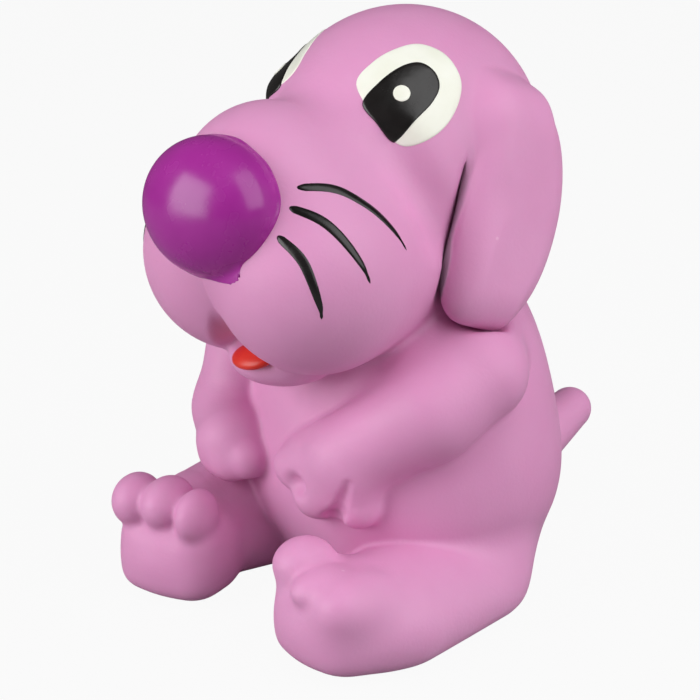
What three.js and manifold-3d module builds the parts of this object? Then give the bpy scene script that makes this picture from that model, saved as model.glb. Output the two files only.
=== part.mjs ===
// A sitting puppy squeeze toy: a hollow latex skin in sections, its painted face and a squeaker in its base.
// Millimetres, +Z up, muzzle towards -Y, the puppy's own left at +X, standing on Z = 0.

import * as THREE from 'three';
import { mergeVertices } from 'three/addons/utils/BufferGeometryUtils.js';
import Module from 'manifold-3d';

// Skin, seams and paint
const skinWall = 2.2;
const seamGap = 0.3;
const paintThickness = 0.4;

// Body: a flat rump, broad hips and a chest, all egg shaped
const hipsWidth = 64;
const hipsDepth = 56;
const hipsHeight = 48.8;
const hipsRise = 22.2;
const hipsSetback = 13;
const chestWidth = 57.2;
const chestDepth = 46.4;
const chestHeight = 52;
const chestRise = 24;
const chestForward = 1;
const bodySoftness = 18;
const rumpWidth = 60;
const rumpDepth = 51;
const rumpHeight = 23;
const rumpRise = 9.5;
const rumpSetback = 2;
const rumpSoftness = 4;

// Legs: stretched forwards and flat on the ground, each with an upright foot turned a little inwards
const legRootInset = 11;
const legRootForward = 7;
const legRootRadius = 14.7;
const legRootHeight = 10.8;
const legReach = 23;
const legSplay = 3.2;
const ankleRadius = 13;
const ankleHeight = 9;
const footWidth = 21.2;
const footHeight = 17.4;
const footThickness = 15.2;
const footForward = { left: 9.8, right: 10.2 };
const footInset = { left: 1.6, right: 3.4 };
const footRounding = 5.5;
const footTurn = { left: 5, right: 14 };
const footSoftness = 5;
const toeWidth = 8.8;
const toeLength = 10;
const toeHeight = 10.8;
const toeSpacing = 7;
const toeOverhang = 4;
const toeRise = 0.4;

// Arms: the left forearm slants down across the belly, the right upper arm hangs and its paw lies in front
const shoulderInset = { left: 1, right: 5.2 };
const shoulderRise = { left: 2.6, right: 2.3 };
const shoulderForward = { left: 7, right: 16 };
const armRadius = { left: 8.8, right: 7.9 };
const elbowOut = { left: -3.4, right: 2.2 };
const elbowForward = { left: 9.8, right: 4.8 };
const elbowDrop = { left: 5.4, right: 13.1 };
const elbowTuck = 0.7;
const pawInwards = { left: 11.2, right: 8.4 };
const pawForward = { left: 8.6, right: 6.6 };
const pawDrop = { left: 9.5, right: 3.8 };
const pawRadius = { left: 8.2, right: 7.3 };
const fingerRadius = 4.4;
const fingerReach = { left: 7.5, right: 4.3 };
const fingerSpacing = { left: 7.1, right: 3.5 };
const fingerForward = { left: 2.4, right: 2.2 };
const fingerInwards = { left: 5, right: 1.8 };

// Tail: a stub that tapers upwards
const tailRootRadius = 7.4;
const tailRootHeight = 11.3;
const tailTipRadius = 4.4;
const tailLength = 24;
const tailLift = 8.6;

// Head: cranium, cheeks, two flews, the bridge of the muzzle and the chin
const cheekRise = 23;
const cheekForward = 18;
const cheekWidth = 49.2;
const cheekDepth = 42;
const cheekHeight = 39;
const craniumRise = 15.5;
const craniumSetback = 18.6;
const craniumWidth = 50;
const craniumDepth = 53.6;
const craniumHeight = 53.4;
const craniumSoftness = 9;
const flewForward = 12.5;
const flewSpacing = 19;
const flewRadius = 18.5;
const flewSoftness = 5;
const cleftSoftness = 1;
const philtrumForward = 16;
const philtrumRise = 3;
const philtrumWidth = 24;
const philtrumDepth = 29.2;
const philtrumHeight = 22;
const philtrumSoftness = 4;
const bridgeRise = 12;
const bridgeForward = 13;
const bridgeLength = 11;
const bridgeRadius = 16.7;
const bridgeRootRadius = 14.5;
const bridgeRootDrop = 1.5;
const bridgeSoftness = 6;
const chinForward = 12;
const chinDrop = 18;
const chinWidth = 20;
const chinDepth = 20;
const chinHeight = 10;
const chinSoftness = 1.5;

// Nose and tongue
const noseWidth = 29;
const noseDepth = 20.6;
const noseHeight = 25.2;
const noseForward = 14.8;
const noseRise = 0.4;
const tongueWidth = 9.6;
const tongueLength = 7.2;
const tongueThickness = 4;
const tongueForward = 8.3;
const tongueRise = 2.2;
const tongueTilt = -25;

// Ears: thick lobes that hang beside the cheeks
const earThickness = 11.2;
const earBreadth = 25;
const earLength = 45.6;
const earDrop = 6.7;
const earOut = -0.4;
const earForward = 1;
const earTilt = 20;
const earFlare = 5;

// Eyes: painted on the cranium, places in degrees from straight ahead and from the level
const eyeTurn = 48;
const eyeLift = 33.6;
const eyeWidth = 18.6;
const eyeHeight = 20;
const pupilWidth = 13.4;
const pupilHeight = 14;
const highlightDiameter = 3.1;
const highlightInwards = 1.1;
const paintReach = 9;

// Whiskers: painted strokes on the flews
const whiskerWidth = 1.5;
const whiskerTipWidth = 0.4;
const whiskerBluntness = 0.25;
const whiskerSteps = 8;

// Squeaker: a plastic insert that the latex lip of the base grips
const housingRadius = 8;
const housingHeight = 9;
const housingWall = 1.3;
const flangeOverhang = 2.2;
const flangeThickness = 1.2;
const lipThickness = 1.5;
const beadOverhang = 1.4;
const beadThickness = 1.2;
const boreRadius = 2.9;
const bossWall = 1.4;
const blockLength = 11;
const grooveWidth = 1.8;
const grooveDepth = 1.3;
const reedWidth = 3.2;
const reedThickness = 0.4;
const reedLength = 9.2;
const clampLength = 2.6;

const latexPink = new THREE.MeshStandardMaterial({ color: 0xd78fbd, roughness: 0.55, metalness: 0 });
const noseViolet = new THREE.MeshStandardMaterial({ color: 0xa13d90, roughness: 0.25, metalness: 0 });
const tongueRed = new THREE.MeshStandardMaterial({ color: 0xd53b31, roughness: 0.35, metalness: 0 });
const eyeWhite = new THREE.MeshStandardMaterial({ color: 0xf9fced, roughness: 0.35, metalness: 0 });
const paintBlack = new THREE.MeshStandardMaterial({ color: 0x11100b, roughness: 0.2, metalness: 0 });
const plasticWhite = new THREE.MeshStandardMaterial({ color: 0xe6e4dc, roughness: 0.4, metalness: 0 });
const reedFilm = new THREE.MeshStandardMaterial({ color: 0xd8d2b4, roughness: 0.3, metalness: 0 });

// How finely each kind of form is divided
const bodyFineness = 4;
const headFineness = 6;
const legFineness = 4;
const eggFineness = 3;
const paintFineness = 5;
const hollowFineness = 2;
const roundSides = 20;
const armSides = 12;
const fingerSides = 8;
const toeSides = 10;
const outlineSteps = 3;

// Spans that reach past the whole toy
const workSpan = 400;
const searchReach = 120;
const searchSteps = 40;

const wasm = await Module();
wasm.setup();

// Turns a closed geometry into a solid for joining and cutting.
function solid(geometry) {
  geometry.deleteAttribute('normal');
  geometry.deleteAttribute('uv');
  const closed = mergeVertices(geometry);
  return new wasm.Manifold(new wasm.Mesh({
    numProp: 3,
    vertProperties: new Float32Array(closed.attributes.position.array),
    triVerts: new Uint32Array(closed.index.array),
  }));
}

// The largest body of a solid, without crumbs that a cut leaves.
function mainBody(body) {
  return body.decompose().sort((a, b) => b.volume() - a.volume())[0];
}

function piece(name, body, material) {
  const { vertProperties, triVerts } = mainBody(body).getMesh();
  const geometry = new THREE.BufferGeometry();
  geometry.setAttribute('position', new THREE.BufferAttribute(vertProperties, 3));
  geometry.setIndex(new THREE.BufferAttribute(triVerts, 1));
  geometry.computeVertexNormals();
  const mesh = new THREE.Mesh(geometry, material);
  mesh.name = name;
  return mesh;
}

const vector = (x, y, z) => new THREE.Vector3(x, y, z);

// Rounded forms, each a function that gives a point's distance outside its surface.
function egg(centre, width, depth, height) {
  const radii = vector(width / 2, depth / 2, height / 2);
  return (point) => {
    const unit = point.clone().sub(centre).divide(radii);
    const slope = unit.clone().divide(radii).length();
    return slope > 0 ? unit.length() * (unit.length() - 1) / slope : -radii.x;
  };
}

// An egg as a closed solid, grown or shrunk by a height all round.
function eggSolid(centre, width, depth, height, grow, tilt = 0, flare = 0) {
  return solid(
    new THREE.IcosahedronGeometry(1, eggFineness)
      .scale(width / 2 + grow, depth / 2 + grow, height / 2 + grow)
      .rotateX(-THREE.MathUtils.degToRad(tilt))
      .rotateY(-THREE.MathUtils.degToRad(flare))
      .translate(centre.x, centre.y, centre.z),
  );
}

function taper(start, end, startRadius, endRadius) {
  const along = end.clone().sub(start);
  return (point) => {
    const place = point.clone().sub(start);
    const share = THREE.MathUtils.clamp(place.dot(along) / along.lengthSq(), 0, 1);
    const radius = THREE.MathUtils.lerp(startRadius, endRadius, share);
    return place.addScaledVector(along, -share).length() - radius;
  };
}

function pad(centre, width, depth, height, rounding) {
  const half = vector(width / 2 - rounding, depth / 2 - rounding, height / 2 - rounding);
  return (point) => {
    const place = point.clone().sub(centre);
    const over = vector(Math.abs(place.x), Math.abs(place.y), Math.abs(place.z)).sub(half);
    const inside = Math.min(Math.max(over.x, over.y, over.z), 0);
    return over.max(vector(0, 0, 0)).length() + inside - rounding;
  };
}

// Two forms run into one another over a soft width.
function melt(first, second, softness) {
  return (point) => {
    const a = first(point);
    const b = second(point);
    const share = Math.max(softness - Math.abs(a - b), 0) / softness;
    return Math.min(a, b) - share * share * softness / 4;
  };
}

// The point at a given height over a form's surface, straight out from a middle point inside it.
function surfacePoint(form, middle, direction, height) {
  let near = 0;
  let far = searchReach;
  for (let step = 0; step < searchSteps; step += 1) {
    const reach = (near + far) / 2;
    if (form(middle.clone().addScaledVector(direction, reach)) < height) near = reach;
    else far = reach;
  }
  return middle.clone().addScaledVector(direction, near);
}

// A form as a closed solid, grown or shrunk by a height all round.
function shape(form, middle, fineness, height = 0) {
  const ball = new THREE.IcosahedronGeometry(1, fineness);
  ball.deleteAttribute('normal');
  ball.deleteAttribute('uv');
  const skin = mergeVertices(ball);
  const places = skin.attributes.position;
  for (let index = 0; index < places.count; index += 1) {
    const direction = vector(places.getX(index), places.getY(index), places.getZ(index)).normalize();
    const point = surfacePoint(form, middle, direction, height);
    places.setXYZ(index, point.x, point.y, point.z);
  }
  return solid(skin);
}

// Everything from a level upwards, as a block wide enough for the whole toy.
function above(level) {
  return solid(new THREE.BoxGeometry(workSpan, workSpan, workSpan).translate(0, 0, level + workSpan / 2));
}

function drum(radius, bottom, top, middle) {
  const height = top - bottom;
  const turned = new THREE.CylinderGeometry(radius, radius, height, roundSides).rotateX(Math.PI / 2);
  return solid(turned.translate(middle.x, middle.y, bottom + height / 2));
}

// Levels of the squeaker's seat in the base
const flangeBottom = seamGap;
const recessDepth = flangeBottom + flangeThickness + seamGap;
const baseWall = recessDepth + lipThickness;

// Body
const hipsMiddle = vector(0, hipsSetback, hipsRise);
const chestMiddle = vector(0, hipsMiddle.y - chestForward, hipsMiddle.z + chestRise);
const bodyMiddle = hipsMiddle.clone().add(chestMiddle).multiplyScalar(0.5);
const rumpMiddle = vector(0, hipsMiddle.y + rumpSetback, rumpRise);
const seatForm = melt(
  egg(hipsMiddle, hipsWidth, hipsDepth, hipsHeight),
  egg(rumpMiddle, rumpWidth, rumpDepth, rumpHeight),
  rumpSoftness,
);
const bodyForm = melt(seatForm, egg(chestMiddle, chestWidth, chestDepth, chestHeight), bodySoftness);
const bodyOuter = shape(bodyForm, bodyMiddle, bodyFineness);
const bodyCutter = shape(bodyForm, bodyMiddle, bodyFineness, seamGap);
const bodyHollow = shape(bodyForm, bodyMiddle, hollowFineness, -skinWall);

// Head
const cheekMiddle = vector(0, chestMiddle.y - cheekForward, chestMiddle.z + cheekRise);
const craniumMiddle = vector(0, cheekMiddle.y + craniumSetback, cheekMiddle.z + craniumRise);
const headMiddle = cheekMiddle.clone().add(craniumMiddle).multiplyScalar(0.5);
const bridgeTip = vector(0, cheekMiddle.y - bridgeForward, cheekMiddle.z + bridgeRise);
const bridgeRoot = vector(0, bridgeTip.y + bridgeLength, bridgeTip.z - bridgeRootDrop);
const chinMiddle = vector(0, cheekMiddle.y - chinForward, cheekMiddle.z - chinDrop);
const flewMiddle = (side) => vector(side * flewSpacing / 2, cheekMiddle.y - flewForward, cheekMiddle.z);
const flew = (side) => egg(flewMiddle(side), flewRadius * 2, flewRadius * 2, flewRadius * 2);
const skullForm = melt(
  egg(craniumMiddle, craniumWidth, craniumDepth, craniumHeight),
  egg(cheekMiddle, cheekWidth, cheekDepth, cheekHeight),
  craniumSoftness,
);
const philtrumMiddle = vector(0, cheekMiddle.y - philtrumForward, cheekMiddle.z + philtrumRise);
const lipForm = melt(
  melt(flew(-1), flew(1), cleftSoftness),
  egg(philtrumMiddle, philtrumWidth, philtrumDepth, philtrumHeight),
  philtrumSoftness,
);
const muzzleForm = melt(
  melt(skullForm, lipForm, flewSoftness),
  taper(bridgeRoot, bridgeTip, bridgeRootRadius, bridgeRadius),
  bridgeSoftness,
);
const headForm = melt(muzzleForm, egg(chinMiddle, chinWidth, chinDepth, chinHeight), chinSoftness);
const headOuter = shape(headForm, headMiddle, headFineness);
const headCutter = shape(headForm, headMiddle, headFineness, seamGap);
const headPaint = shape(headForm, headMiddle, paintFineness, seamGap + paintThickness)
  .subtract(shape(headForm, headMiddle, paintFineness, seamGap));
const headHollow = shape(headForm, headMiddle, hollowFineness, -skinWall);

// Nose
const noseMiddle = vector(0, bridgeTip.y - noseForward, bridgeTip.z + noseRise);
const noseSolid = (grow) => eggSolid(noseMiddle, noseWidth, noseDepth, noseHeight, grow);
const noseHollow = noseSolid(-skinWall);
const nose = noseSolid(0).subtract(noseHollow).subtract(headCutter);

// Tongue, in a pocket between the flews and the chin
const tongueMiddle = vector(0, chinMiddle.y - tongueForward, chinMiddle.z + tongueRise);
function tongueSolid(grow) {
  return eggSolid(tongueMiddle, tongueWidth, tongueLength, tongueThickness, grow, tongueTilt);
}

const tonguePocket = tongueSolid(seamGap);
const tongueSeat = tongueSolid(seamGap + skinWall);

const headSkin = headOuter
  .subtract(headHollow.subtract(tongueSeat))
  .subtract(tonguePocket)
  .subtract(noseHollow)
  .subtract(bodyHollow);

// Legs
const ground = above(0);
const hollowSpace = above(baseWall);

function legForms(side, way) {
  const root = vector(way * (hipsWidth / 2 - legRootInset), hipsMiddle.y - legRootForward, legRootHeight);
  const ankle = vector(root.x + way * legSplay, root.y - legReach, ankleHeight);
  const foot = vector(ankle.x - way * footInset[side], ankle.y - footForward[side], footHeight / 2);
  const middle = root.clone().lerp(foot, 0.5);
  const turn = way * THREE.MathUtils.degToRad(footTurn[side]);
  const block = pad(vector(0, 0, 0), footWidth, footThickness, footHeight, footRounding);
  const turnedFoot = (point) => block(point.clone().sub(foot).applyAxisAngle(vector(0, 0, 1), turn));
  const form = melt(taper(root, ankle, legRootRadius, ankleRadius), turnedFoot, footSoftness);
  const toes = [-1, 0, 1].map((place) => solid(
    new THREE.SphereGeometry(0.5, toeSides, toeSides / 2 + 1)
      .scale(toeWidth, toeLength, toeHeight)
      .translate(place * toeSpacing, -toeOverhang, 0)
      .rotateZ(-turn)
      .translate(foot.x, foot.y, footHeight + toeRise),
  ));
  const outer = (height) => shape(form, middle, legFineness, height);
  return { outer, toes, hollow: shape(form, middle, hollowFineness, -skinWall).intersect(hollowSpace) };
}

const legs = { left: legForms('left', 1), right: legForms('right', -1) };
const legSkin = ({ outer, toes, hollow }) => toes
  .reduce((body, toe) => body.add(toe), outer(0))
  .intersect(ground)
  .subtract(hollow)
  .subtract(bodyCutter);

// Ears
function earSolid(side, grow) {
  const out = side * (craniumWidth / 2 + earOut);
  const middle = vector(out, craniumMiddle.y + earForward, craniumMiddle.z - earDrop);
  return eggSolid(middle, earThickness, earBreadth, earLength, grow, earTilt, side * earFlare);
}

const earLobe = (side) => earSolid(side, 0).subtract(headCutter).subtract(bodyCutter);

// Arms
// A stick with round ends, whose radius runs evenly from one end to the other.
function roundedStick(from, to, fromRadius, toRadius, sides) {
  const along = to.clone().sub(from);
  const turn = new THREE.Quaternion().setFromUnitVectors(vector(0, 1, 0), along.clone().normalize());
  const stick = new THREE.CapsuleGeometry(1, 2, Math.round(sides / 3), sides);
  const places = stick.attributes.position;
  for (let index = 0; index < places.count; index += 1) {
    const place = vector(places.getX(index), places.getY(index), places.getZ(index));
    const atEnd = place.y > 0;
    const end = atEnd ? to : from;
    place.y -= atEnd ? 1 : -1;
    place.multiplyScalar(atEnd ? toRadius : fromRadius).applyQuaternion(turn).add(end);
    places.setXYZ(index, place.x, place.y, place.z);
  }
  return solid(stick);
}

function armForms(side, way) {
  const shoulder = vector(
    way * (chestWidth / 2 - shoulderInset[side]),
    chestMiddle.y - shoulderForward[side],
    chestMiddle.z + shoulderRise[side],
  );
  const elbow = shoulder.clone().add(vector(way * elbowOut[side], -elbowForward[side], -elbowDrop[side]));
  const paw = elbow.clone().add(vector(-way * pawInwards[side], -pawForward[side], -pawDrop[side]));
  const upper = armRadius[side];
  const limb = (grow, sides) => roundedStick(shoulder, elbow, upper + grow, upper - elbowTuck + grow, sides)
    .add(roundedStick(elbow, paw, upper + grow, pawRadius[side] + grow, sides));
  const fingers = [-1, 0, 1].map((place) => {
    const spread = way * (place * fingerSpacing[side] - fingerInwards[side]);
    const tip = paw.clone().add(vector(spread, -fingerForward[side], -fingerReach[side]));
    return roundedStick(paw, tip, fingerRadius, fingerRadius, fingerSides);
  });
  return { outer: limb(0, armSides), fingers, hollow: limb(-skinWall, fingerSides) };
}

const arms = { left: armForms('left', 1), right: armForms('right', -1) };
const armSkin = ({ outer, fingers, hollow }, ear, leg) => fingers
  .reduce((body, tip) => body.add(tip), outer)
  .subtract(hollow)
  .subtract(bodyCutter)
  .subtract(headCutter)
  .subtract(ear)
  .subtract(leg);

// Tail
const tailRoot = vector(0, hipsMiddle.y + hipsDepth / 2, tailRootHeight);
const tailTip = tailRoot.clone().add(vector(0, tailLength, tailLift));
const tail = roundedStick(tailRoot, tailTip, tailRootRadius, tailTipRadius, armSides).subtract(bodyCutter);

// Torso skin, with the neck open to the head, windows to the limbs and the squeaker's seat in its base
const seatMiddle = vector(0, hipsMiddle.y, 0);
const flangeRadius = housingRadius + flangeOverhang;
const torsoSkin = bodyOuter
  .intersect(ground)
  .subtract(bodyHollow.intersect(hollowSpace))
  .subtract(legs.left.hollow)
  .subtract(legs.right.hollow)
  .subtract(arms.left.hollow)
  .subtract(arms.right.hollow)
  .subtract(headCutter)
  .subtract(drum(housingRadius + seamGap, -seamGap, baseWall + seamGap, seatMiddle))
  .subtract(drum(flangeRadius + seamGap, -seamGap, recessDepth, seatMiddle));

// Eyes: flat outlines, in the plane across the line of sight, cut out of the coat over the cranium
function lookDirection(side, turn, lift) {
  const level = Math.cos(THREE.MathUtils.degToRad(lift));
  const across = THREE.MathUtils.degToRad(turn);
  return vector(
    side * Math.sin(across) * level,
    -Math.cos(across) * level,
    Math.sin(THREE.MathUtils.degToRad(lift)),
  );
}

const eyeOutline = [
  [-0.48, 0.15], [-0.3, 0.35], [0.1, 0.52], [0.46, 0.35], [0.5, 0], [0.2, -0.42], [-0.12, -0.45],
];
const pupilOutline = [
  [-0.62, 0], [-0.36, 0.2], [0.14, 0.45], [0.42, 0.1], [0.08, -0.3], [-0.14, -0.66], [-0.5, -0.5],
];

// A prism of a closed outline, along the line of sight of one eye.
function eyePrism(side, points, width, height, grow = 0, inwards = 0) {
  const direction = lookDirection(side, eyeTurn, eyeLift);
  const middle = surfacePoint(headForm, craniumMiddle, direction, 0);
  const places = points.map(([across, up]) => {
    const place = new THREE.Vector2(side * across * width, up * height);
    place.setLength(place.length() + grow);
    place.x -= side * inwards;
    return place;
  });
  const outline = new THREE.Shape();
  const curve = new THREE.SplineCurve([...places, places[0]]);
  outline.setFromPoints(curve.getPoints(places.length * outlineSteps).slice(0, -1));
  const prism = new THREE.ExtrudeGeometry(outline, { depth: paintReach * 2, bevelEnabled: false });
  const across = vector(-direction.y, direction.x, 0).normalize();
  const up = direction.clone().cross(across);
  prism.translate(0, 0, -paintReach);
  prism.applyMatrix4(new THREE.Matrix4().makeBasis(across, up, direction).setPosition(middle));
  return solid(prism);
}

const roundOutline = [...Array(8).keys()].map((step) => [
  Math.cos(step * Math.PI / 4) / 2,
  Math.sin(step * Math.PI / 4) / 2,
]);

function eyeCoats(side) {
  const white = eyePrism(side, eyeOutline, eyeWidth, eyeHeight);
  const pupil = (grow) => eyePrism(side, pupilOutline, pupilWidth, pupilHeight, grow);
  const highlight = (grow) => eyePrism(
    side,
    roundOutline,
    highlightDiameter,
    highlightDiameter,
    grow,
    highlightInwards,
  );
  return {
    white: headPaint.intersect(white).subtract(pupil(seamGap)),
    pupil: headPaint.intersect(white).intersect(pupil(0)).subtract(highlight(seamGap)),
    highlight: headPaint.intersect(highlight(0)),
  };
}

// Whiskers: ribbons of paint, each through three places seen from the middle of its flew
const whiskerPaths = {
  upper: [[28, 58], [94, 47], [109, 16]],
  middle: [[26, 48], [60, 35], [78, 4]],
  lower: [[23, 32], [41, 17], [50, -12]],
};

function whisker(side, path) {
  const middle = flewMiddle(side);
  const curve = new THREE.CatmullRomCurve3(path.map(([turn, lift]) => lookDirection(side, turn, lift)));
  const corners = [];
  for (let step = 0; step <= whiskerSteps; step += 1) {
    const share = step / whiskerSteps;
    const out = curve.getPoint(share).normalize();
    const aside = curve.getTangent(share).cross(out).normalize();
    const swell = Math.sin(Math.PI * Math.min(whiskerBluntness + share, 1));
    const half = THREE.MathUtils.lerp(whiskerTipWidth, whiskerWidth, swell) / 2;
    const edge = (way) => out.clone().addScaledVector(aside, way * half / flewRadius).normalize();
    const low = seamGap;
    const high = seamGap + paintThickness;
    for (const [way, height] of [[-1, low], [1, low], [1, high], [-1, high]]) {
      corners.push(surfacePoint(headForm, middle, edge(way), height));
    }
  }
  const faces = [0, 1, 2, 0, 2, 3];
  for (let step = 0; step < whiskerSteps; step += 1) {
    for (let corner = 0; corner < 4; corner += 1) {
      const here = step * 4 + corner;
      const beside = step * 4 + (corner + 1) % 4;
      faces.push(here, here + 4, beside, beside, here + 4, beside + 4);
    }
  }
  const last = whiskerSteps * 4;
  faces.push(last, last + 2, last + 1, last, last + 3, last + 2);
  const ribbon = new THREE.BufferGeometry().setFromPoints(corners);
  ribbon.setIndex(faces);
  return solid(ribbon);
}

// Squeaker housing: a cup with an outer flange, a bead over the latex lip and a bored boss for the reed
const beadBottom = baseWall + seamGap;
const housingTop = flangeBottom + housingHeight;
const floorTop = flangeBottom + flangeThickness;
const bossRadius = boreRadius + bossWall;
const housingProfile = [
  [boreRadius, flangeBottom],
  [flangeRadius, flangeBottom],
  [flangeRadius, floorTop],
  [housingRadius, floorTop],
  [housingRadius, beadBottom],
  [housingRadius + beadOverhang, beadBottom],
  [housingRadius, beadBottom + beadThickness],
  [housingRadius, housingTop],
  [housingRadius - housingWall, housingTop],
  [housingRadius - housingWall, floorTop],
  [bossRadius, floorTop],
  [bossRadius, housingTop],
  [boreRadius, housingTop],
  [boreRadius, flangeBottom],
].map(([radius, level]) => new THREE.Vector2(radius, level));
const housing = solid(
  new THREE.LatheGeometry(housingProfile, roundSides)
    .rotateX(Math.PI / 2)
    .translate(seatMiddle.x, seatMiddle.y, 0),
);

// Half-round fillers of the bore, with the reed between them
const fillerRadius = boreRadius - seamGap;
const reedSlot = reedThickness + seamGap * 2;

function halfRound(way, length) {
  const flat = reedSlot / 2;
  const reach = Math.acos(flat / fillerRadius);
  const outline = new THREE.Shape();
  outline.absarc(0, 0, fillerRadius, way * Math.PI / 2 - reach, way * Math.PI / 2 + reach, false);
  const bar = new THREE.ExtrudeGeometry(outline, { depth: length, bevelEnabled: false, curveSegments: 8 });
  return solid(bar.translate(seatMiddle.x, seatMiddle.y, flangeBottom));
}

const groove = solid(
  new THREE.BoxGeometry(grooveWidth, grooveDepth * 2, blockLength)
    .translate(seatMiddle.x, seatMiddle.y - reedSlot / 2, flangeBottom + blockLength / 2 - grooveWidth),
);
const reedBlock = halfRound(-1, blockLength).subtract(groove);
const reedClamp = halfRound(1, clampLength);
const reed = solid(
  new THREE.BoxGeometry(reedWidth, reedThickness, reedLength)
    .translate(seatMiddle.x, seatMiddle.y, flangeBottom + seamGap + reedLength / 2),
);

// Assembly
const squeaker = new THREE.Group();
squeaker.add(
  piece('squeaker_housing', housing, plasticWhite),
  piece('reed_block', reedBlock, plasticWhite),
  piece('reed', reed, reedFilm),
  piece('reed_clamp', reedClamp, plasticWhite),
);

const torso = new THREE.Group();
torso.add(piece('torso_skin', torsoSkin, latexPink), piece('tail', tail, latexPink), squeaker);

const head = new THREE.Group();
head.add(
  piece('head_skin', headSkin, latexPink),
  piece('nose', nose, noseViolet),
  piece('tongue', tongueSolid(0), tongueRed),
);

for (const [side, way] of [['left', 1], ['right', -1]]) {
  const arm = armSkin(arms[side], earSolid(way, seamGap), legs[side].outer(seamGap));
  const coats = eyeCoats(way);
  torso.add(piece(`${side}_arm`, arm, latexPink), piece(`${side}_leg`, legSkin(legs[side]), latexPink));
  head.add(
    piece(`${side}_ear`, earLobe(way), latexPink),
    piece(`${side}_eye_white`, coats.white, eyeWhite),
    piece(`${side}_pupil`, coats.pupil, paintBlack),
    piece(`${side}_eye_highlight`, coats.highlight, eyeWhite),
  );
  for (const [place, path] of Object.entries(whiskerPaths)) {
    head.add(piece(`${side}_${place}_whisker`, whisker(way, path), paintBlack));
  }
}

// The origin lies on the ground under the middle of the toy's length.
const noseFront = noseMiddle.y - noseDepth / 2;
const tailBack = tailTip.y + tailTipRadius;
const toy = new THREE.Group();
toy.add(torso, head);
toy.position.y = -(noseFront + tailBack) / 2;

export default toy;
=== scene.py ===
import functools
import math

import bpy
import numpy as np
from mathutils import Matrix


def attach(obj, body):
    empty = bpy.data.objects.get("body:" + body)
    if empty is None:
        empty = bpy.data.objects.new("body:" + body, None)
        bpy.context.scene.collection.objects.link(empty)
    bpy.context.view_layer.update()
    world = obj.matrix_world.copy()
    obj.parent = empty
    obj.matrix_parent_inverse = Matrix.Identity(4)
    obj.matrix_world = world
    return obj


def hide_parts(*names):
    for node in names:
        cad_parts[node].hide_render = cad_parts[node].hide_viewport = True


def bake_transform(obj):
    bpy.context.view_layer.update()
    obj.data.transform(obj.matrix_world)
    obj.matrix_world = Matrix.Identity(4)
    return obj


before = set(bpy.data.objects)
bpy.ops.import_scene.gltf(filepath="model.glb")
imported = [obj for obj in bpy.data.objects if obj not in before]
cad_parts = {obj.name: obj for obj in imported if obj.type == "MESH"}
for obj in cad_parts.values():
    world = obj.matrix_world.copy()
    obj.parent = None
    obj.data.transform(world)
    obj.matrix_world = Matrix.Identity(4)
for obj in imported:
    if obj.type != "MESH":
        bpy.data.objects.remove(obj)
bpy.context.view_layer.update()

import openvdb
from mathutils import Vector

# The skin: one hollow moulding of pink latex, slushed round inside a mould and stripped out when cured.
# Body, head, arms and legs leave the mould together, so they run into one another along soft creases.
# Its forms are written in millimetres, and the toy's own middle lies this far behind their zero.
middle_setback = 12.65
millimetre = 0.001
least_slope = 1e-9


def unturned(points, centre, tilt, flare):
    lean, swing = math.radians(tilt), math.radians(flare)
    upright = np.array([
        [1, 0, 0],
        [0, math.cos(lean), math.sin(lean)],
        [0, -math.sin(lean), math.cos(lean)],
    ])
    straight = np.array([
        [math.cos(swing), 0, -math.sin(swing)],
        [0, 1, 0],
        [math.sin(swing), 0, math.cos(swing)],
    ])
    return (points - np.array(centre)) @ straight @ upright


def egg(points, centre, radii, tilt=0.0, flare=0.0):
    place = unturned(points, centre, tilt, flare)
    reach = np.linalg.norm(place / np.array(radii), axis=1)
    slope = np.linalg.norm(place / np.array(radii) ** 2, axis=1)
    return reach * (reach - 1) / np.maximum(slope, least_slope)


def stick(points, start, end, start_radius, end_radius):
    along = np.array(end) - np.array(start)
    place = points - np.array(start)
    share = np.clip(place @ along / (along @ along), 0, 1)
    aside = np.linalg.norm(place - share[:, None] * along, axis=1)
    return aside - start_radius - (end_radius - start_radius) * share


def pad(points, centre, half, rounding):
    over = np.abs(points - np.array(centre)) - (np.array(half) - rounding)
    return np.linalg.norm(np.maximum(over, 0), axis=1) + np.minimum(over.max(axis=1), 0) - rounding


def drum(points, centre, radius, half_height):
    aside = np.hypot(points[:, 0] - centre[0], points[:, 1] - centre[1]) - radius
    return np.maximum(aside, np.abs(points[:, 2] - centre[2]) - half_height)


def melt(first, second, softness):
    share = np.maximum(softness - np.abs(first - second), 0) / softness
    return np.minimum(first, second) - share * share * softness / 4


def carve(form, tool, softness):
    return -melt(-form, tool, softness)


def both_sides(points):
    folded = points.copy()
    folded[:, 0] = np.abs(folded[:, 0])
    return folded


def rise(values, low, high):
    share = np.clip((values - low) / (high - low), 0, 1)
    return share * share * (3 - 2 * share)


hips_middle = (0, 13, 22.6)
hips_radii = (32.4, 28.6, 24.4)
chest_middle = (0, 12.2, 45.6)
chest_radii = (28.8, 23.4, 26)
rump_middle = (0, 15, 8.5)
rump_radii = (26.8, 22.6, 10)
rump_fillet = 6
waist_fillet = 18


def body_form(points):
    hips = egg(points, hips_middle, hips_radii)
    chest = egg(points, chest_middle, chest_radii)
    rump = egg(points, rump_middle, rump_radii)
    return melt(melt(hips, rump, rump_fillet), chest, waist_fillet)


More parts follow.
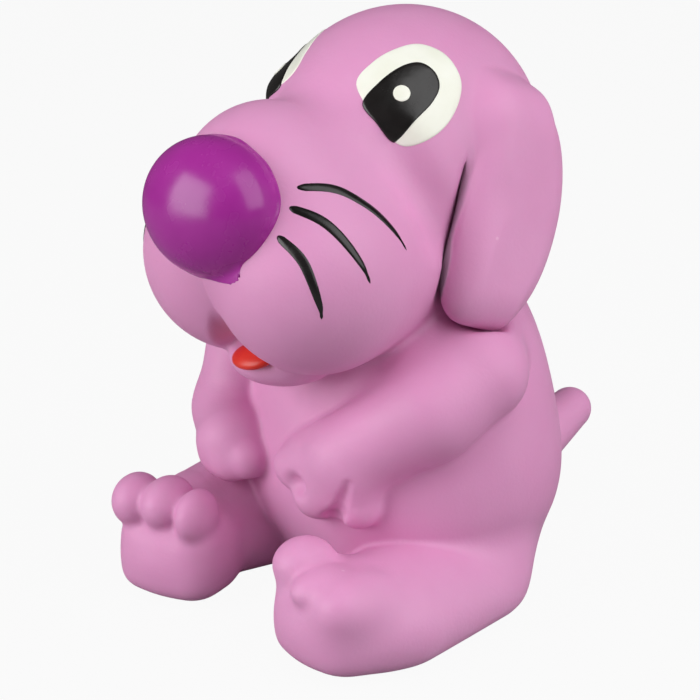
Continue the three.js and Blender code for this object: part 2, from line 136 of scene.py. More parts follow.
# A foot is turned a little inwards on its leg, and its toes overhang the front.
# The left leg lies flatter than the right one.
thigh_out = 21.2
thigh_back = 6
ankle_out = 24.5
ankle_back = -17
sole_middle = (0, 0, 8.7)
sole_half = (10.6, 7.6, 8.7)
sole_rounding = 5.5
instep_height = 8
instep_radii = (10.4, 8, 8.6)
instep_fillet = 3
ankle_fillet = 5
legs = {
    1: dict(
        squash=1.3, thigh_height=7.8, thigh_radius=13.8, ankle_height=9.6, ankle_radius=13.9,
        foot_out=21.9, foot_back=-25.9, turned_in=5, bulge=1.6,
        toes=[
            dict(across=-6.4, forward=1.8, height=17.6, radii=(5.4, 6, 4.8), fillet=2.5),
            dict(across=0.4, forward=3.2, height=15.8, radii=(4, 6.4, 3.6), fillet=1.2),
            dict(across=7, forward=2, height=14.8, radii=(3.8, 5.4, 3.4), fillet=6),
        ],
    ),
    -1: dict(
        squash=1, thigh_height=12.4, thigh_radius=14.9, ankle_height=9.6, ankle_radius=11.7,
        foot_out=20.5, foot_back=-27.2, turned_in=14, bulge=0.8,
        toes=[
            dict(across=7, forward=3.4, height=19, radii=(4.5, 5.6, 5.2), fillet=1.6),
            dict(across=0, forward=3, height=19.6, radii=(4.4, 6.2, 5.2), fillet=1.6),
            dict(across=-7, forward=3.4, height=18.6, radii=(3.4, 5.4, 5.2), fillet=1.6),
        ],
    ),
}


def leg_form(points, side):
    leg = legs[side]
    low = points * np.array([1, 1, leg["squash"]])
    thigh = (side * thigh_out, thigh_back, leg["thigh_height"])
    ankle = (side * ankle_out, ankle_back, leg["ankle_height"])
    shin = stick(low, thigh, ankle, leg["thigh_radius"], leg["ankle_radius"])
    turn = math.radians(leg["turned_in"]) * side
    place = points - np.array([side * leg["foot_out"], leg["foot_back"], 0])
    foot = np.stack([
        place[:, 0] * math.cos(turn) - place[:, 1] * math.sin(turn),
        place[:, 0] * math.sin(turn) + place[:, 1] * math.cos(turn),
        place[:, 2],
    ], 1)
    instep = egg(foot, (0, -leg["bulge"], instep_height), instep_radii)
    block = melt(pad(foot, sole_middle, sole_half, sole_rounding), instep, instep_fillet)
    form = melt(shin, block, ankle_fillet)
    for toe in leg["toes"]:
        knob = egg(foot, (side * toe["across"], -toe["forward"], toe["height"]), toe["radii"])
        form = melt(form, knob, toe["fillet"])
    return form


elbow_fillet = 4
finger_root_radius = 5.6
fingertip_radius = 4.2
finger_fillet = 1.4
arms = {
    1: dict(
        shoulder=(27.6, 5, 48.8), elbow=(24.2, -4.8, 43.4), paw=(13, -13.4, 33.9),
        shoulder_radius=8.8, elbow_radius=8.8, paw_radius=8.2,
        fingertips=[(1.2, -16, 29.4), (7.4, -16.4, 25.2), (15.4, -13.8, 24.8)],
    ),
    -1: dict(
        shoulder=(-24.4, -4.6, 47.6), elbow=(-25.2, -9.4, 32.6), paw=(-17.2, -15.4, 29.4),
        shoulder_radius=8.2, elbow_radius=6.7, paw_radius=7.4,
        fingertips=[(-11.6, -16.8, 27.6), (-15.2, -18, 26.4), (-18.6, -17.2, 26.4)],
    ),
}


def arm_form(points, side):
    arm = arms[side]
    upper = stick(points, arm["shoulder"], arm["elbow"], arm["shoulder_radius"], arm["elbow_radius"])
    lower = stick(points, arm["elbow"], arm["paw"], arm["elbow_radius"], arm["paw_radius"])
    form = melt(upper, lower, elbow_fillet)
    for tip in arm["fingertips"]:
        finger = stick(points, arm["paw"], tip, finger_root_radius, fingertip_radius)
        form = melt(form, finger, finger_fillet)
    return form


# The left hand is a flat mitt on the belly, with a dent and a slit between its fingers.
mitt_middle = (9.2, -14.2, 30.4)
mitt_radii = (10.6, 6.2, 8.4)
mitt_fillet = 3
dent_middle = (5.8, -20.8, 28)
dent_radii = (2.2, 2, 1.6)
dent_rounding = 2
slit_course = [(18.5, -19.4, 31.4), (15, -18.6, 24.6), (12.6, -17.4, 22.4)]
slit_radii = [0.4, 1.2, 1.8]
slit_rounding = 1.2


def left_arm_form(points):
    arm = arm_form(points, 1)
    arm = melt(arm, egg(points, mitt_middle, mitt_radii), mitt_fillet)
    arm = carve(arm, egg(points, dent_middle, dent_radii), dent_rounding)
    for part in range(len(slit_radii) - 1):
        slit = stick(points, *slit_course[part:part + 2], *slit_radii[part:part + 2])
        arm = carve(arm, slit, slit_rounding)
    return arm


# The head is a round cranium and a broad muzzle with two hanging flews, a notch for the mouth and a chin.
# A shallow groove runs down each temple, and only the right brow stands out.
cranium_middle = (0, 13, 84.7)
cranium_radii = (25.2, 27.4, 26.8)
brow_middle = (-12.3, -1.7, 93.8)
brow_radii = (6.3, 6.3, 6.3)
brow_fillet = 3
cheek_middle = (0, -6, 69.2)
cheek_radii = (24.6, 21, 19.5)
cheek_fillet = 9
flew_middle = (9.5, -18.5, 69.2)
flew_radii = (18.5, 18.5, 18.5)
flew_fillet = 5
lip_middle = (0, -22, 72.2)
lip_radii = (12, 14.6, 11)
lip_fillet = 4
bridge_root = (0, -8, 79.7)
bridge_tip = (-0.7, -19.7, 81.2)
bridge_root_radius = 14.5
bridge_tip_radius = 16.8
bridge_fillet = 6
temple_top = (18.4, -7.8, 91.2)
temple_foot = (25.9, -2.1, 76.4)
temple_top_radius = 1.8
temple_foot_radius = 3
temple_rounding = 5
mouth_top = (-0.3, -35, 62.4)
mouth_floor = (0.5, -30, 52.5)
mouth_top_radius = 0.6
mouth_floor_radius = 7.4
mouth_rounding = 1
chin_middle = (0.5, -18, 51.2)
chin_radii = (10, 10, 5)
chin_fillet = 1.5


def head_form(points):
    folded = both_sides(points)
    head = egg(points, cranium_middle, cranium_radii)
    head = melt(head, egg(points, brow_middle, brow_radii), brow_fillet)
    head = melt(head, egg(points, cheek_middle, cheek_radii), cheek_fillet)
    flews = melt(egg(folded, flew_middle, flew_radii), egg(points, lip_middle, lip_radii), lip_fillet)
    head = melt(head, flews, flew_fillet)
    bridge = stick(points, bridge_root, bridge_tip, bridge_root_radius, bridge_tip_radius)
    head = melt(head, bridge, bridge_fillet)
    temples = stick(folded, temple_top, temple_foot, temple_top_radius, temple_foot_radius)
    head = carve(head, temples, temple_rounding)
    mouth = stick(points, mouth_top, mouth_floor, mouth_top_radius, mouth_floor_radius)
    head = carve(head, mouth, mouth_rounding)
    return melt(head, egg(points, chin_middle, chin_radii), chin_fillet)


# An ear is a flat lobe with a round rim, its lower end leaning forwards and standing out.
# Its front edge is squarer than its rear one.
ear_out = 24.9
ear_back = 13.6
ear_height = 78
ear_lean = 20
ear_flare = 5
ear_rear_squareness = 1.9
ear_front_gain = 3.4
ear_change_half = 6
ear_rear_breadth = 13.2
ear_front_breadth = 10.6
ear_top_length = 20.6
ear_bottom_length = 22.6
ear_rim = 8
ear_half_thickness = 5.4
least_reach = 1e-6
least_across = 0.001


def lobe_form(points, side):
    middle = (side * ear_out, ear_back, ear_height)
    across, back, above = unturned(points, middle, ear_lean, side * ear_flare).T
    squareness = ear_rear_squareness + ear_front_gain * rise(-back, -ear_change_half, ear_change_half)
    breadth = np.where(back > 0, ear_rear_breadth, ear_front_breadth)
    length = np.where(above > 0, ear_top_length, ear_bottom_length)
    stretch = (np.abs(back) / breadth) ** squareness + (np.abs(above) / length) ** squareness
    reach = np.maximum(stretch ** (1 / squareness), least_reach)
    rim = np.maximum(np.hypot(back, above) * (1 - 1 / reach) + ear_rim, 0)
    across = np.hypot(across, least_across)
    reach = np.hypot(rim / ear_rim, across / ear_half_thickness)
    return reach * (reach - 1) / np.hypot(rim / ear_rim ** 2, across / ear_half_thickness ** 2)


# The limbs meet the body in tight creases that widen at the hips and shoulders.
# Each ear lies in a pocket of the head that closes towards its root.
# The base has a seat and a well for the squeaker.
limb_crease = 1.5
hip_fillet = 6.5
hip_fillet_front = -8
hip_fillet_rear = 14
left_shoulder_fillet = 6
left_shoulder_low = 42
left_shoulder_high = 54
right_shoulder_fillet = 2
right_shoulder_low = 40
right_shoulder_high = 52
ear_body_gap = 0.6
ear_body_rounding = 2
ear_head_gap = 0.3
ear_head_rounding = 3
pocket_closing = 8
pocket_closing_low = 86
pocket_closing_high = 98
neck_crease = 2
base_rounding = 4
squeaker_middle = (0, 13, 0)
seat_radius = 10.5
seat_depth = 1.8
well_radius = 8.3
well_depth = 13


def skin_form(points):
    behind, above = points[:, 1], points[:, 2]
    skin = body_form(points)
    hip_crease = limb_crease + hip_fillet * rise(behind, hip_fillet_front, hip_fillet_rear)
    for side in (1, -1):
        skin = melt(skin, leg_form(points, side), hip_crease)
    left_crease = limb_crease + left_shoulder_fillet * rise(above, left_shoulder_low, left_shoulder_high)
    skin = melt(skin, left_arm_form(points), left_crease)
    right_crease = limb_crease + right_shoulder_fillet * rise(above, right_shoulder_low, right_shoulder_high)
    skin = melt(skin, arm_form(points, -1), right_crease)
    head_gap = ear_head_gap - pocket_closing * rise(above, pocket_closing_low, pocket_closing_high)
    head = head_form(points)
    for side in (1, -1):
        lobe = lobe_form(points, side)
        skin = carve(skin, lobe - ear_body_gap, ear_body_rounding)
        head = carve(head, lobe - head_gap, ear_head_rounding)
    skin = melt(skin, head, neck_crease)
    skin = carve(skin, above, base_rounding)
    seat = drum(points, squeaker_middle, seat_radius, seat_depth)
    well = drum(points, squeaker_middle, well_radius, well_depth)
    return np.maximum(skin, -np.minimum(seat, well))


feeler_step = 0.05


def slope_of(form, points):
    gradient = np.zeros_like(points)
    for axis in range(3):
        aside = np.zeros(3)
        aside[axis] = feeler_step
        gradient[:, axis] = (form(points + aside) - form(points - aside)) / (2 * feeler_step)
    return gradient


def outward(form, points):
    gradient = slope_of(form, points)
    return gradient / np.maximum(np.linalg.norm(gradient, axis=1), least_slope)[:, None]


def make_piece(name, points, faces, material, normals=None):
    mesh = bpy.data.meshes.new(name)
    places = (np.array(points) - np.array([0, middle_setback, 0])) * millimetre
    mesh.from_pydata(places, [], faces)
    mesh.update()
    mesh.shade_smooth()
    if normals is not None:
        mesh.normals_split_custom_set_from_vertices(normals)
    mesh.materials.append(material)
    made = bpy.data.objects.new(name, mesh)
    bpy.context.scene.collection.objects.link(made)
    return made


# A form is first felt out on a coarse lattice, then filled in on a fine one only near its surface.
# Beside a surface that it grows out of, its shading runs into that surface's own.
coarse_cells = 4
surface_band = 2
settling_rounds = 3
flattest_slope = 0.2
shading_reach = 1.2


def cast(name, form, low, high, pitch, material, ground=None):
    low = np.array(low, float)
    cells = np.ceil((np.array(high) - low) / (pitch * coarse_cells)).astype(int)
    axes = [low[axis] + pitch * coarse_cells * np.arange(cells[axis] + 1) for axis in range(3)]
    coarse = np.stack(np.meshgrid(*axes, indexing="ij"), -1)
    felt = form(coarse.reshape(-1, 3)).reshape(coarse.shape[:3])
    halfway = coarse_cells // 2
    nearest = [
        np.minimum((np.arange(count * coarse_cells + 1) + halfway) // coarse_cells, count) for count in cells
    ]
    values = felt[np.ix_(*nearest)]
    close = np.abs(values) < pitch * coarse_cells * surface_band
    values[close] = form(low + np.argwhere(close) * pitch)
    lattice = openvdb.FloatGrid(float(values.max()))
    lattice.copyFromArray(values.astype(np.float32))
    points, quads = lattice.convertToQuads()
    points = low + points.astype(float) * pitch
    for _ in range(settling_rounds):
        gradient = slope_of(form, points)
        steep = np.maximum((gradient ** 2).sum(1), flattest_slope)
        shift = np.clip(form(points) / steep, -pitch, pitch)
        points -= shift[:, None] * gradient
    normals = outward(form, points)
    if ground is not None:
        own = rise(ground(points), 0, shading_reach)[:, None]
        normals = own * normals + (1 - own) * outward(ground, points)
    return make_piece(name, points, quads, material, normals)


# A colour is written as a screen shows it, from 0 to 255, and the usual curve turns it into linear light.
def pigment(red, green, blue):
    shares = [value / 255 for value in (red, green, blue)]
    linear = [share / 12.92 if share <= 0.04045 else ((share + 0.055) / 1.055) ** 2.4 for share in shares]
    return (*linear, 1)


def wire(tree, source, target):
    tree.links.new(source, target)


def add_node(tree, kind, **values):
    made = tree.nodes.new(kind)
    for key, value in values.items():
        setattr(made, key, value)
    return made


def add_noise(tree, scale, detail):
    noise = add_node(tree, "ShaderNodeTexNoise")
    noise.inputs["Scale"].default_value = scale
    noise.inputs["Detail"].default_value = detail
    coordinates = add_node(tree, "ShaderNodeTexCoord")
    wire(tree, coordinates.outputs["Object"], noise.inputs["Vector"])
    return noise.outputs["Fac"]


def add_range(tree, source, low, high, to_low, to_high):
    spread = add_node(tree, "ShaderNodeMapRange")
    for key, value in (("From Min", low), ("From Max", high), ("To Min", to_low), ("To Max", to_high)):
        spread.inputs[key].default_value = value
    wire(tree, source, spread.inputs["Value"])
    return spread.outputs["Result"]


def add_bump(tree, height, strength, distance, under=None):
    bump = add_node(tree, "ShaderNodeBump")
    bump.inputs["Strength"].default_value = strength
    bump.inputs["Distance"].default_value = distance
    wire(tree, height, bump.inputs["Height"])
    if under is not None:
        wire(tree, under, bump.inputs["Normal"])
    return bump.outputs["Normal"]


def new_finish(name):
    finish = bpy.data.materials.new(name)
    finish.use_nodes = True
    shader = finish.node_tree.nodes["Principled BSDF"]
    return finish, finish.node_tree, shader


# Most of a noise's values lie between these two, so a finish runs through its whole range there.
noise_low = 0.3
noise_high = 0.7
tone_detail = 3


def add_tone(tree, scale, dark, light):
    ramp = add_node(tree, "ShaderNodeValToRGB")
    for element, place, colour in zip(ramp.color_ramp.elements, (noise_low, noise_high), (dark, light)):
        element.position = place
        element.color = colour
    wire(tree, add_noise(tree, scale, tone_detail), ramp.inputs["Fac"])
    return ramp.outputs["Color"]


def add_sheen(tree, scale, detail, least, most):
    return add_range(tree, add_noise(tree, scale, detail), noise_low, noise_high, least, most)


speck_core = 0.02
speck_edge = 0.035
speck_strength = 0.5


def add_specks(tree, scale, ground, colour):
    cells = add_node(tree, "ShaderNodeTexVoronoi")
    cells.inputs["Scale"].default_value = scale
    coordinates = add_node(tree, "ShaderNodeTexCoord")
    wire(tree, coordinates.outputs["Object"], cells.inputs["Vector"])
    strength = add_range(tree, cells.outputs["Distance"], speck_core, speck_edge, speck_strength, 0)
    mix = add_node(tree, "ShaderNodeMix", data_type="RGBA")
    sockets = {socket.identifier: socket for socket in mix.inputs}
    wire(tree, strength, sockets["Factor_Float"])
    wire(tree, ground, sockets["A_Color"])
    sockets["B_Color"].default_value = colour
    return next(socket for socket in mix.outputs if socket.identifier == "Result_Color")


latex, tree, shader = new_finish("pink_latex")
mottle = add_tone(tree, scale=38, dark=pigment(222, 150, 196), light=pigment(228, 160, 204))
speckled = add_specks(tree, scale=70, ground=mottle, colour=pigment(240, 196, 222))
wire(tree, speckled, shader.inputs["Base Color"])
wire(tree, add_sheen(tree, scale=160, detail=4, least=0.44, most=0.56), shader.inputs["Roughness"])
grain = add_bump(tree, add_noise(tree, scale=1500, detail=2), strength=0.12, distance=0.0003)
waves = add_bump(tree, add_noise(tree, scale=190, detail=2), strength=0.1, distance=0.0006, under=grain)
wire(tree, waves, shader.inputs["Normal"])
shader.inputs["Specular IOR Level"].default_value = 0.35
shader.inputs["Subsurface Weight"].default_value = 0.12
shader.inputs["Subsurface Radius"].default_value = (1, 0.35, 0.6)
shader.inputs["Subsurface Scale"].default_value = 0.004

skin = cast("latex_skin", skin_form, low=(-42, -47, -1.4), high=(42, 46, 114), pitch=0.7, material=latex)
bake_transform(skin)
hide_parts("torso_skin", "head_skin", "left_arm", "right_arm", "left_leg", "right_leg")

# The ears: thick hanging lobes of the same moulding, joined to the head at the top and loose at the bottom.
# The latex runs out thin over the head round each root, so the lobe seems to grow out of the crown.
film_sunk = 0.3
film_thinning = 0.5
lobe_softness = 0.3
root_softness = 8.7
root_low = 84
root_high = 98
ear_inner = 14
ear_outer = 38
ear_front_end = -12
ear_rear_end = 40
ear_lower_end = 50
ear_upper_end = 110


def ear_form(points, side):
    lobe = lobe_form(points, side)
    softness = lobe_softness + root_softness * rise(points[:, 2], root_low, root_high)
    rooted = melt(head_form(points) + film_sunk, lobe, softness)
    return np.maximum(rooted, lobe - softness + film_thinning * np.sqrt(softness))


for side, word in ((1, "left"), (-1, "right")):
    low = (min(side * ear_inner, side * ear_outer), ear_front_end, ear_lower_end)
    high = (max(side * ear_inner, side * ear_outer), ear_rear_end, ear_upper_end)
    form = functools.partial(ear_form, side=side)
    ear = cast(f"{word}_ear_lobe", form, low, high, pitch=0.6, material=latex, ground=head_form)
    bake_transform(ear)
    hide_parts(f"{word}_ear")

# The tail: a stub that tapers upwards behind the base, moulded hollow with the body.
# A soft fillet carries it into the rump, where the real stub can bend sideways.
tail_root = (0, 41, 11.1)
tail_tip = (0, 65, 20.1)
tail_root_radius = 7.6
tail_tip_radius = 4.6
tail_fillet = 4
tail_film = 3


def tail_form(points):
    stub = stick(points, tail_root, tail_tip, tail_root_radius, tail_tip_radius)
    rooted = melt(body_form(points) + film_sunk, stub, tail_fillet)
    return np.maximum(rooted, stub - tail_film)


tail = cast(
    "stub_tail", tail_form, low=(-13, 28, 1), high=(13, 72, 29), pitch=0.6, material=latex, ground=body_form,
)
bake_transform(tail)
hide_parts("tail")

# The nose: a large oval bulb on the tip of the muzzle, brushed with a glossy purple enamel.
# The enamel stops a little past the bulb in an uneven edge, with a run of paint below it.
nose_middle = (0, -33.8, 81.5)
nose_radii = (14.6, 10.3, 12.4)
nose_flare = 8
nose_fillet = 1
nose_coat = 0.12
edge_reach = 0.2
edge_waves = 0.1
edge_wave_count = 5
edge_wave_shift = 1
edge_ripples = 0.06
edge_ripple_count = 11
run_middle = (6.4, -37.2, 71.9)
run_radii = (4, 3.4, 2.2)
run_fillet = 2


def nose_form(points):
    bulb = egg(points, nose_middle, nose_radii, flare=nose_flare)
    seated = melt(head_form(points) - nose_coat, bulb, nose_fillet)
    around = np.arctan2(points[:, 2] - nose_middle[2], points[:, 0])
    waves = edge_waves * np.sin(around * edge_wave_count + edge_wave_shift)
    ragged = edge_reach + waves + edge_ripples * np.sin(around * edge_ripple_count)
    run = egg(points, run_middle, run_radii)
    return np.maximum(seated, melt(bulb - ragged, run, run_fillet))


# A coat's tone, gloss and brush marks each vary over it at a scale of their own.
gloss_detail = 3


def coat_finish(
    name, tones, tone_scale, gloss, gloss_scale, mark_scale, mark_detail, mark_strength, mark_depth,
):
    finish, tree, shader = new_finish(name)
    wire(tree, add_tone(tree, tone_scale, *tones), shader.inputs["Base Color"])
    wire(tree, add_sheen(tree, gloss_scale, gloss_detail, *gloss), shader.inputs["Roughness"])
    marks = add_bump(tree, add_noise(tree, mark_scale, mark_detail), mark_strength, mark_depth)
    wire(tree, marks, shader.inputs["Normal"])
    return finish


enamel = coat_finish(
    "purple_enamel", tones=(pigment(158, 38, 144), pigment(170, 48, 155)), tone_scale=90,
    gloss=(0.2, 0.3), gloss_scale=240,
    mark_scale=260, mark_detail=0, mark_strength=0.1, mark_depth=0.0004,
)
nose = cast("painted_nose", nose_form, low=(-18, -47, 63), high=(18, -18, 98), pitch=0.5, material=enamel)
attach(nose, "head")
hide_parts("nose")

# The tongue: a moulded nub between the lips, brushed with red enamel.
# It lies in the notch between the two flews and rests on the chin.
tongue_middle = (1.8, -26.4, 53.3)
tongue_radii = (5, 3.6, 1.6)
tongue_tilt = -25
tongue_flare = 6


def tongue_form(points):
    return egg(points, tongue_middle, tongue_radii, tongue_tilt, tongue_flare)


red_enamel = coat_finish(
    "red_enamel", tones=(pigment(214, 38, 26), pigment(228, 56, 40)), tone_scale=200,
    gloss=(0.32, 0.46), gloss_scale=300,
    mark_scale=420, mark_detail=1, mark_strength=0.1, mark_depth=0.0003,
)
tongue = cast(
    "painted_tongue", tongue_form, low=(-7, -35, 46), high=(9, -17, 61), pitch=0.4, material=red_enamel,
)
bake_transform(tongue)
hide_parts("tongue")

# The eyes: three coats of enamel brushed on the crown, a white field, a black pupil over it and a white dot.
# Each coat is a thin skin of paint with a rounded edge, and the pupil runs out to the edge beside the snout.


def bend_through(before, start, end, after, share):
    bend = 2 * before - 5 * start + 4 * end - after
    swing = -before + 3 * start - 3 * end + after
    return start + 0.5 * share * (end - before + share * (bend + share * swing))


def rounded_outline(corners, steps):
    corners = np.array(corners, float)
    count = len(corners)
    outline = []
    for step in range(steps):
        place = step / steps * count
        index = int(place)
        around = [corners[(index + offset) % count] for offset in (-1, 0, 1, 2)]
        outline.append(bend_through(*around, place - index))
    return np.array(outline)


brush_standoff = 16
brush_rounds = 60
brush_stride = 0.8


def lay_down(points, direction):
    places = points + direction * brush_standoff
    for _ in range(brush_rounds):
        places = places - direction * (brush_stride * head_form(places))[:, None]
    return places


eye_turn = math.radians(48)
eye_lift = math.radians(33.6)
crown_middle = (0, 12, 84.7)
crown_reach = 24
outline_steps = 96
ring_count = 14
edge_shares = [0.97, 0.99]
edge_heights = [0.8, 0.4]
edge_sunk = -0.12
coat_root = -0.5


def paint_patch(name, corners, side, thickness, material):
    sight = np.array([
        side * math.sin(eye_turn) * math.cos(eye_lift),
        -math.cos(eye_turn) * math.cos(eye_lift),
        math.sin(eye_lift),
    ])
    across = side * np.array([-sight[1], sight[0], 0]) / math.hypot(sight[0], sight[1])
    upwards = side * np.cross(sight, across)
    middle = lay_down(np.array([crown_middle]) + sight * crown_reach, sight)[0]
    outline = rounded_outline(corners, outline_steps)
    heart = outline.mean(0)
    layers = [(ring / ring_count, thickness) for ring in range(1, ring_count)]
    layers += [(share, thickness * height) for share, height in zip(edge_shares, edge_heights)]
    layers += [(1.0, edge_sunk), (1.0, coat_root)]
    flat = np.concatenate([heart[None]] + [heart + (outline - heart) * share for share, _ in layers])
    heights = np.concatenate([[thickness]] + [np.full(outline_steps, height) for _, height in layers])
    laid = lay_down(middle + flat[:, :1] * across + flat[:, 1:] * upwards, sight)
    points = laid + outward(head_form, laid) * heights[:, None]
    points = np.concatenate([points, points[-outline_steps:].mean(0)[None]])
    rim = 1 + (len(layers) - 1) * outline_steps
    last = len(points) - 1
    faces = []
    for step in range(outline_steps):
        beside = (step + 1) % outline_steps
        faces.append((0, 1 + step, 1 + beside))
        for ring in range(len(layers) - 1):
            here = 1 + ring * outline_steps
            beyond = here + outline_steps
            faces.append((here + step, beyond + step, beyond + beside, here + beside))
        faces.append((rim + step, last, rim + beside))
    if side < 0:
        faces = [face[::-1] for face in faces]
    return make_piece(name, points, faces, material)


white_enamel = coat_finish(
    "white_enamel", tones=(pigment(240, 241, 226), pigment(248, 249, 238)), tone_scale=150,
    gloss=(0.3, 0.42), gloss_scale=260,
    mark_scale=420, mark_detail=1, mark_strength=0.1, mark_depth=0.0003,
)
black_enamel = coat_finish(
    "black_enamel", tones=(pigment(14, 12, 10), pigment(30, 27, 27)), tone_scale=150,
    gloss=(0.18, 0.3), gloss_scale=260,
    mark_scale=500, mark_detail=2, mark_strength=0.1, mark_depth=0.0003,
)
white_corners = [
    (-9, 2.6), (-6.1, 6.7), (-1.9, 9.4), (2.5, 10.6), (7, 8.7), (9.5, 4.4),
    (9.3, 0.1), (7.2, -4.4), (4, -7.4), (0.4, -8.6), (-2.5, -7.8), (-5.9, -4),
]
pupil_corners = [
    (-8, -1.2), (-5.2, 2.4), (-1.2, 5.5), (2.3, 6.5), (4.9, 4.8), (5.7, 1.8),
    (4.2, -1.4), (1.4, -4.4), (-1.5, -7.3), (-3.1, -7.7), (-5.7, -4.8),
]
dot_middle = (-1.1, 0.2)
dot_radius = 1.55
dot_corner_count = 8
dot_turns = [2 * corner * math.pi / dot_corner_count for corner in range(dot_corner_count)]
dot_corners = [
    (dot_middle[0] + dot_radius * math.cos(turn), dot_middle[1] + dot_radius * math.sin(turn))
    for turn in dot_turns
]
white_thickness = 0.16
pupil_thickness = 0.3
dot_thickness = 0.42
for side, word in ((1, "left"), (-1, "right")):
    white = paint_patch(f"{word}_eye_field", white_corners, side, white_thickness, white_enamel)
    pupil = paint_patch(f"{word}_eye_pupil", pupil_corners, side, pupil_thickness, black_enamel)
    glint = paint_patch(f"{word}_eye_dot", dot_corners, side, dot_thickness, white_enamel)
    for coat, node, slot in (
        (white, f"{word}_eye_white", "white_paint"),
        (pupil, f"{word}_pupil", "black_paint"),
        (glint, f"{word}_eye_highlight", "white_paint"),
    ):
        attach(coat, "head")
        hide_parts(node)

# The whiskers: three strokes of black enamel on each cheek, drawn with a round brush from the nose outwards.
# Each starts blunt, swells where the brush was pressed and runs out to a hair.
stroke_steps = 48
stroke_sides = 9
stroke_half_width = 0.95
blunt_share = 0.06
light_press = 0.35
press_start = 0.18
taper_end = 1.02
taper_share = 0.12
stroke_height = 0.26
full_height_half_width = 0.5
stroke_sunk = 0.1
stroke_root = 0.5
spine_rounds = 6
stroke_rounds = 3


def settle(points, rounds):
    for _ in range(rounds):
        points = points - outward(head_form, points) * head_form(points)[:, None]
    return points


def whisker_spine(course, side):
    course = np.array(course, float) * np.array([side, 1, 1])
    padded = np.concatenate([2 * course[:1] - course[1:2], course, 2 * course[-1:] - course[-2:-1]])
    spine = []
    for place in np.linspace(0, len(course) - 1, stroke_steps):
        index = min(int(place), len(course) - 2)
        spine.append(bend_through(*padded[index:index + 4], place - index))
    return settle(np.array(spine), spine_rounds)


def whisker_stroke(name, course, side, material):
    spine = whisker_spine(course, side)
    along = np.gradient(spine, axis=0)
    along /= np.linalg.norm(along, axis=1)[:, None]
    out = outward(head_form, spine)
    aside = np.cross(along, out)
    reach = np.linspace(0, 1, stroke_steps)
    swell = light_press + (1 - light_press) * np.sin(np.pi * np.minimum(reach + press_start, 1))
    press = np.minimum(np.sqrt(reach / blunt_share), 1) * swell
    half = stroke_half_width * press * np.minimum((taper_end - reach) / taper_share, 1)
    rings = []
    for turn in np.linspace(0, math.pi, stroke_sides):
        lift = stroke_height * math.sin(turn) * np.minimum(half / full_height_half_width, 1) - stroke_sunk
        place = settle(spine + aside * (half * math.cos(turn))[:, None], stroke_rounds)
        rings.append(place + out * lift[:, None])
    rings.append(spine - out * stroke_root)
    points = np.stack(rings, 1).reshape(-1, 3)
    count = stroke_sides + 1
    faces = [tuple(range(count))[::-1], tuple(range((stroke_steps - 1) * count, stroke_steps * count))]
    for step in range(stroke_steps - 1):
        here = step * count
        for corner in range(count):
            beside = (corner + 1) % count
            faces.append((here + corner, here + beside, here + count + beside, here + count + corner))
    if side < 0:
        faces = [face[::-1] for face in faces]
    return make_piece(name, points, faces, material)


whisker_courses = {
    "upper": [(14.5, -27.8, 86.3), (19.4, -20.9, 85.4), (24.9, -15.1, 79), (26.5, -12.6, 74.3)],
    "middle": [(15.2, -30.1, 83.5), (20.8, -26.9, 81.2), (26.2, -24, 75), (27.5, -22.5, 70.6)],
    "lower": [(15.5, -33, 79.2), (20.7, -31.9, 75.4), (23.4, -30.8, 68.6), (23.4, -30.1, 65.2)],
}
for side, word in ((1, "left"), (-1, "right")):
    for place, course in whisker_courses.items():
        stroke = whisker_stroke(f"{word}_{place}_stroke", course, side, black_enamel)
        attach(stroke, "head")
        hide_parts(f"{word}_{place}_whisker")

# The squeaker: a moulded plastic insert pressed into the hole that the latex was poured through.
# Its flange lies in a recess of the base, and a reed between two half-round fillers sits in its bore.
squeaker_plastic = coat_finish(
    "squeaker_plastic", tones=(pigment(226, 222, 208), pigment(236, 233, 222)), tone_scale=120,
    gloss=(0.38, 0.52), gloss_scale=400,
    mark_scale=800, mark_detail=2, mark_strength=0.08, mark_depth=0.0002,
)
reed_film = coat_finish(
    "reed_film", tones=(pigment(206, 196, 160), pigment(220, 212, 180)), tone_scale=300,
    gloss=(0.24, 0.38), gloss_scale=600,
    mark_scale=900, mark_detail=1, mark_strength=0.08, mark_depth=0.0002,
)
for node, finish in (
    ("squeaker_housing", squeaker_plastic),
    ("reed_block", squeaker_plastic),
    ("reed_clamp", squeaker_plastic),
    ("reed", reed_film),
):
    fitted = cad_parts[node]
    fitted.data.materials.clear()
    fitted.data.materials.append(finish)

# The studio: a flat sheet of pale paper under soft boxes, with the camera a little above, on the left front.
# The paper shows almost white to the camera, and keeps the toy's shadow and a grey bounce.
# Sizes here are in metres, and angles are turned from the toy's front and lifted from the floor.
paper_half = 3
paper_grey = 0.3
paper_glow = 0.94
sweep_mesh = bpy.data.meshes.new("paper_sweep")
paper_corners = [(-paper_half, -paper_half, 0), (paper_half, -paper_half, 0)]
paper_corners += [(paper_half, paper_half, 0), (-paper_half, paper_half, 0)]
sweep_mesh.from_pydata(paper_corners, [], [(0, 1, 2, 3)])
sweep = bpy.data.objects.new("paper_sweep", sweep_mesh)
bpy.context.scene.collection.objects.link(sweep)
paper, tree, shader = new_finish("white_paper")
shader.inputs["Base Color"].default_value = (paper_grey, paper_grey, paper_grey, 1)
shader.inputs["Roughness"].default_value = 0.9
glow = add_node(tree, "ShaderNodeEmission")
glow.inputs["Color"].default_value = (1, 1, 1, 1)
rays = add_node(tree, "ShaderNodeLightPath")
glow_share = add_node(tree, "ShaderNodeMath", operation="MULTIPLY")
glow_share.inputs[1].default_value = paper_glow
wire(tree, rays.outputs["Is Camera Ray"], glow_share.inputs[0])
shown = add_node(tree, "ShaderNodeMixShader")
wire(tree, glow_share.outputs["Value"], shown.inputs["Fac"])
wire(tree, shader.outputs["BSDF"], shown.inputs[1])
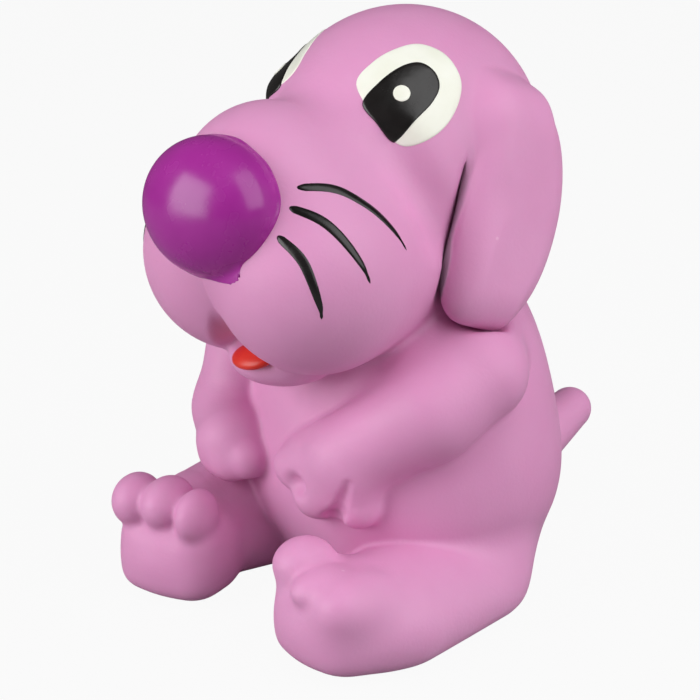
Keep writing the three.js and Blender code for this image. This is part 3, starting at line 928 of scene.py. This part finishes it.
wire(tree, glow.outputs["Emission"], shown.inputs[2])
wire(tree, shown.outputs["Shader"], tree.nodes["Material Output"].inputs["Surface"])
sweep_mesh.materials.append(paper)


def towards(turn, lift):
    turn, lift = math.radians(turn), math.radians(lift)
    return Vector((math.sin(turn) * math.cos(lift), -math.cos(turn) * math.cos(lift), math.sin(lift)))


camera_turn = 46
camera_lift = 18
camera_distance = 0.36
sensor_width = 36
photo_width_pixels = 700
focal_length_pixels = 1908
aim = Vector((0, -0.01365, 0.0482))
sight = towards(camera_turn, camera_lift)
camera_data = bpy.data.cameras.new("camera")
camera_data.sensor_width = sensor_width
camera_data.lens = sensor_width * focal_length_pixels / photo_width_pixels
camera_data.clip_start = 0.01
camera = bpy.data.objects.new("camera", camera_data)
camera.location = aim + sight * camera_distance
camera.rotation_euler = sight.to_track_quat("Z", "Y").to_euler()
bpy.context.scene.collection.objects.link(camera)
bpy.context.scene.camera = camera

box_distance = 0.6


def soft_box(name, turn, lift, width, height, power, mirrored):
    lamp = bpy.data.lights.new(name, "AREA")
    lamp.shape = "RECTANGLE"
    lamp.size = width
    lamp.size_y = height
    lamp.energy = power
    box = bpy.data.objects.new(name, lamp)
    box.location = aim + towards(turn, lift) * box_distance
    box.rotation_euler = towards(turn, lift).to_track_quat("Z", "Y").to_euler()
    box.visible_glossy = mirrored
    bpy.context.scene.collection.objects.link(box)


soft_box("top_box", turn=30, lift=68, width=0.5, height=0.5, power=0.6, mirrored=False)
soft_box("left_box", turn=-20, lift=11, width=0.5, height=0.6, power=3.8, mirrored=True)
soft_box("right_box", turn=92, lift=40, width=0.5, height=0.7, power=2.3, mirrored=True)
soft_box("back_box", turn=128, lift=14, width=0.4, height=0.5, power=1.2, mirrored=False)

room_light = 0.08
world = bpy.data.worlds.new("studio")
world.use_nodes = True
bpy.context.scene.world = world
tree = world.node_tree
background = tree.nodes["Background"]
rays = add_node(tree, "ShaderNodeLightPath")
seen = add_node(tree, "ShaderNodeMath", operation="MAXIMUM")
wire(tree, rays.outputs["Is Camera Ray"], seen.inputs[0])
wire(tree, rays.outputs["Is Transmission Ray"], seen.inputs[1])
wire(tree, add_range(tree, seen.outputs["Value"], 0, 1, room_light, 1), background.inputs["Strength"])
background.inputs["Color"].default_value = (1, 1, 1, 1)

bpy.context.scene.view_settings.view_transform = "Standard"
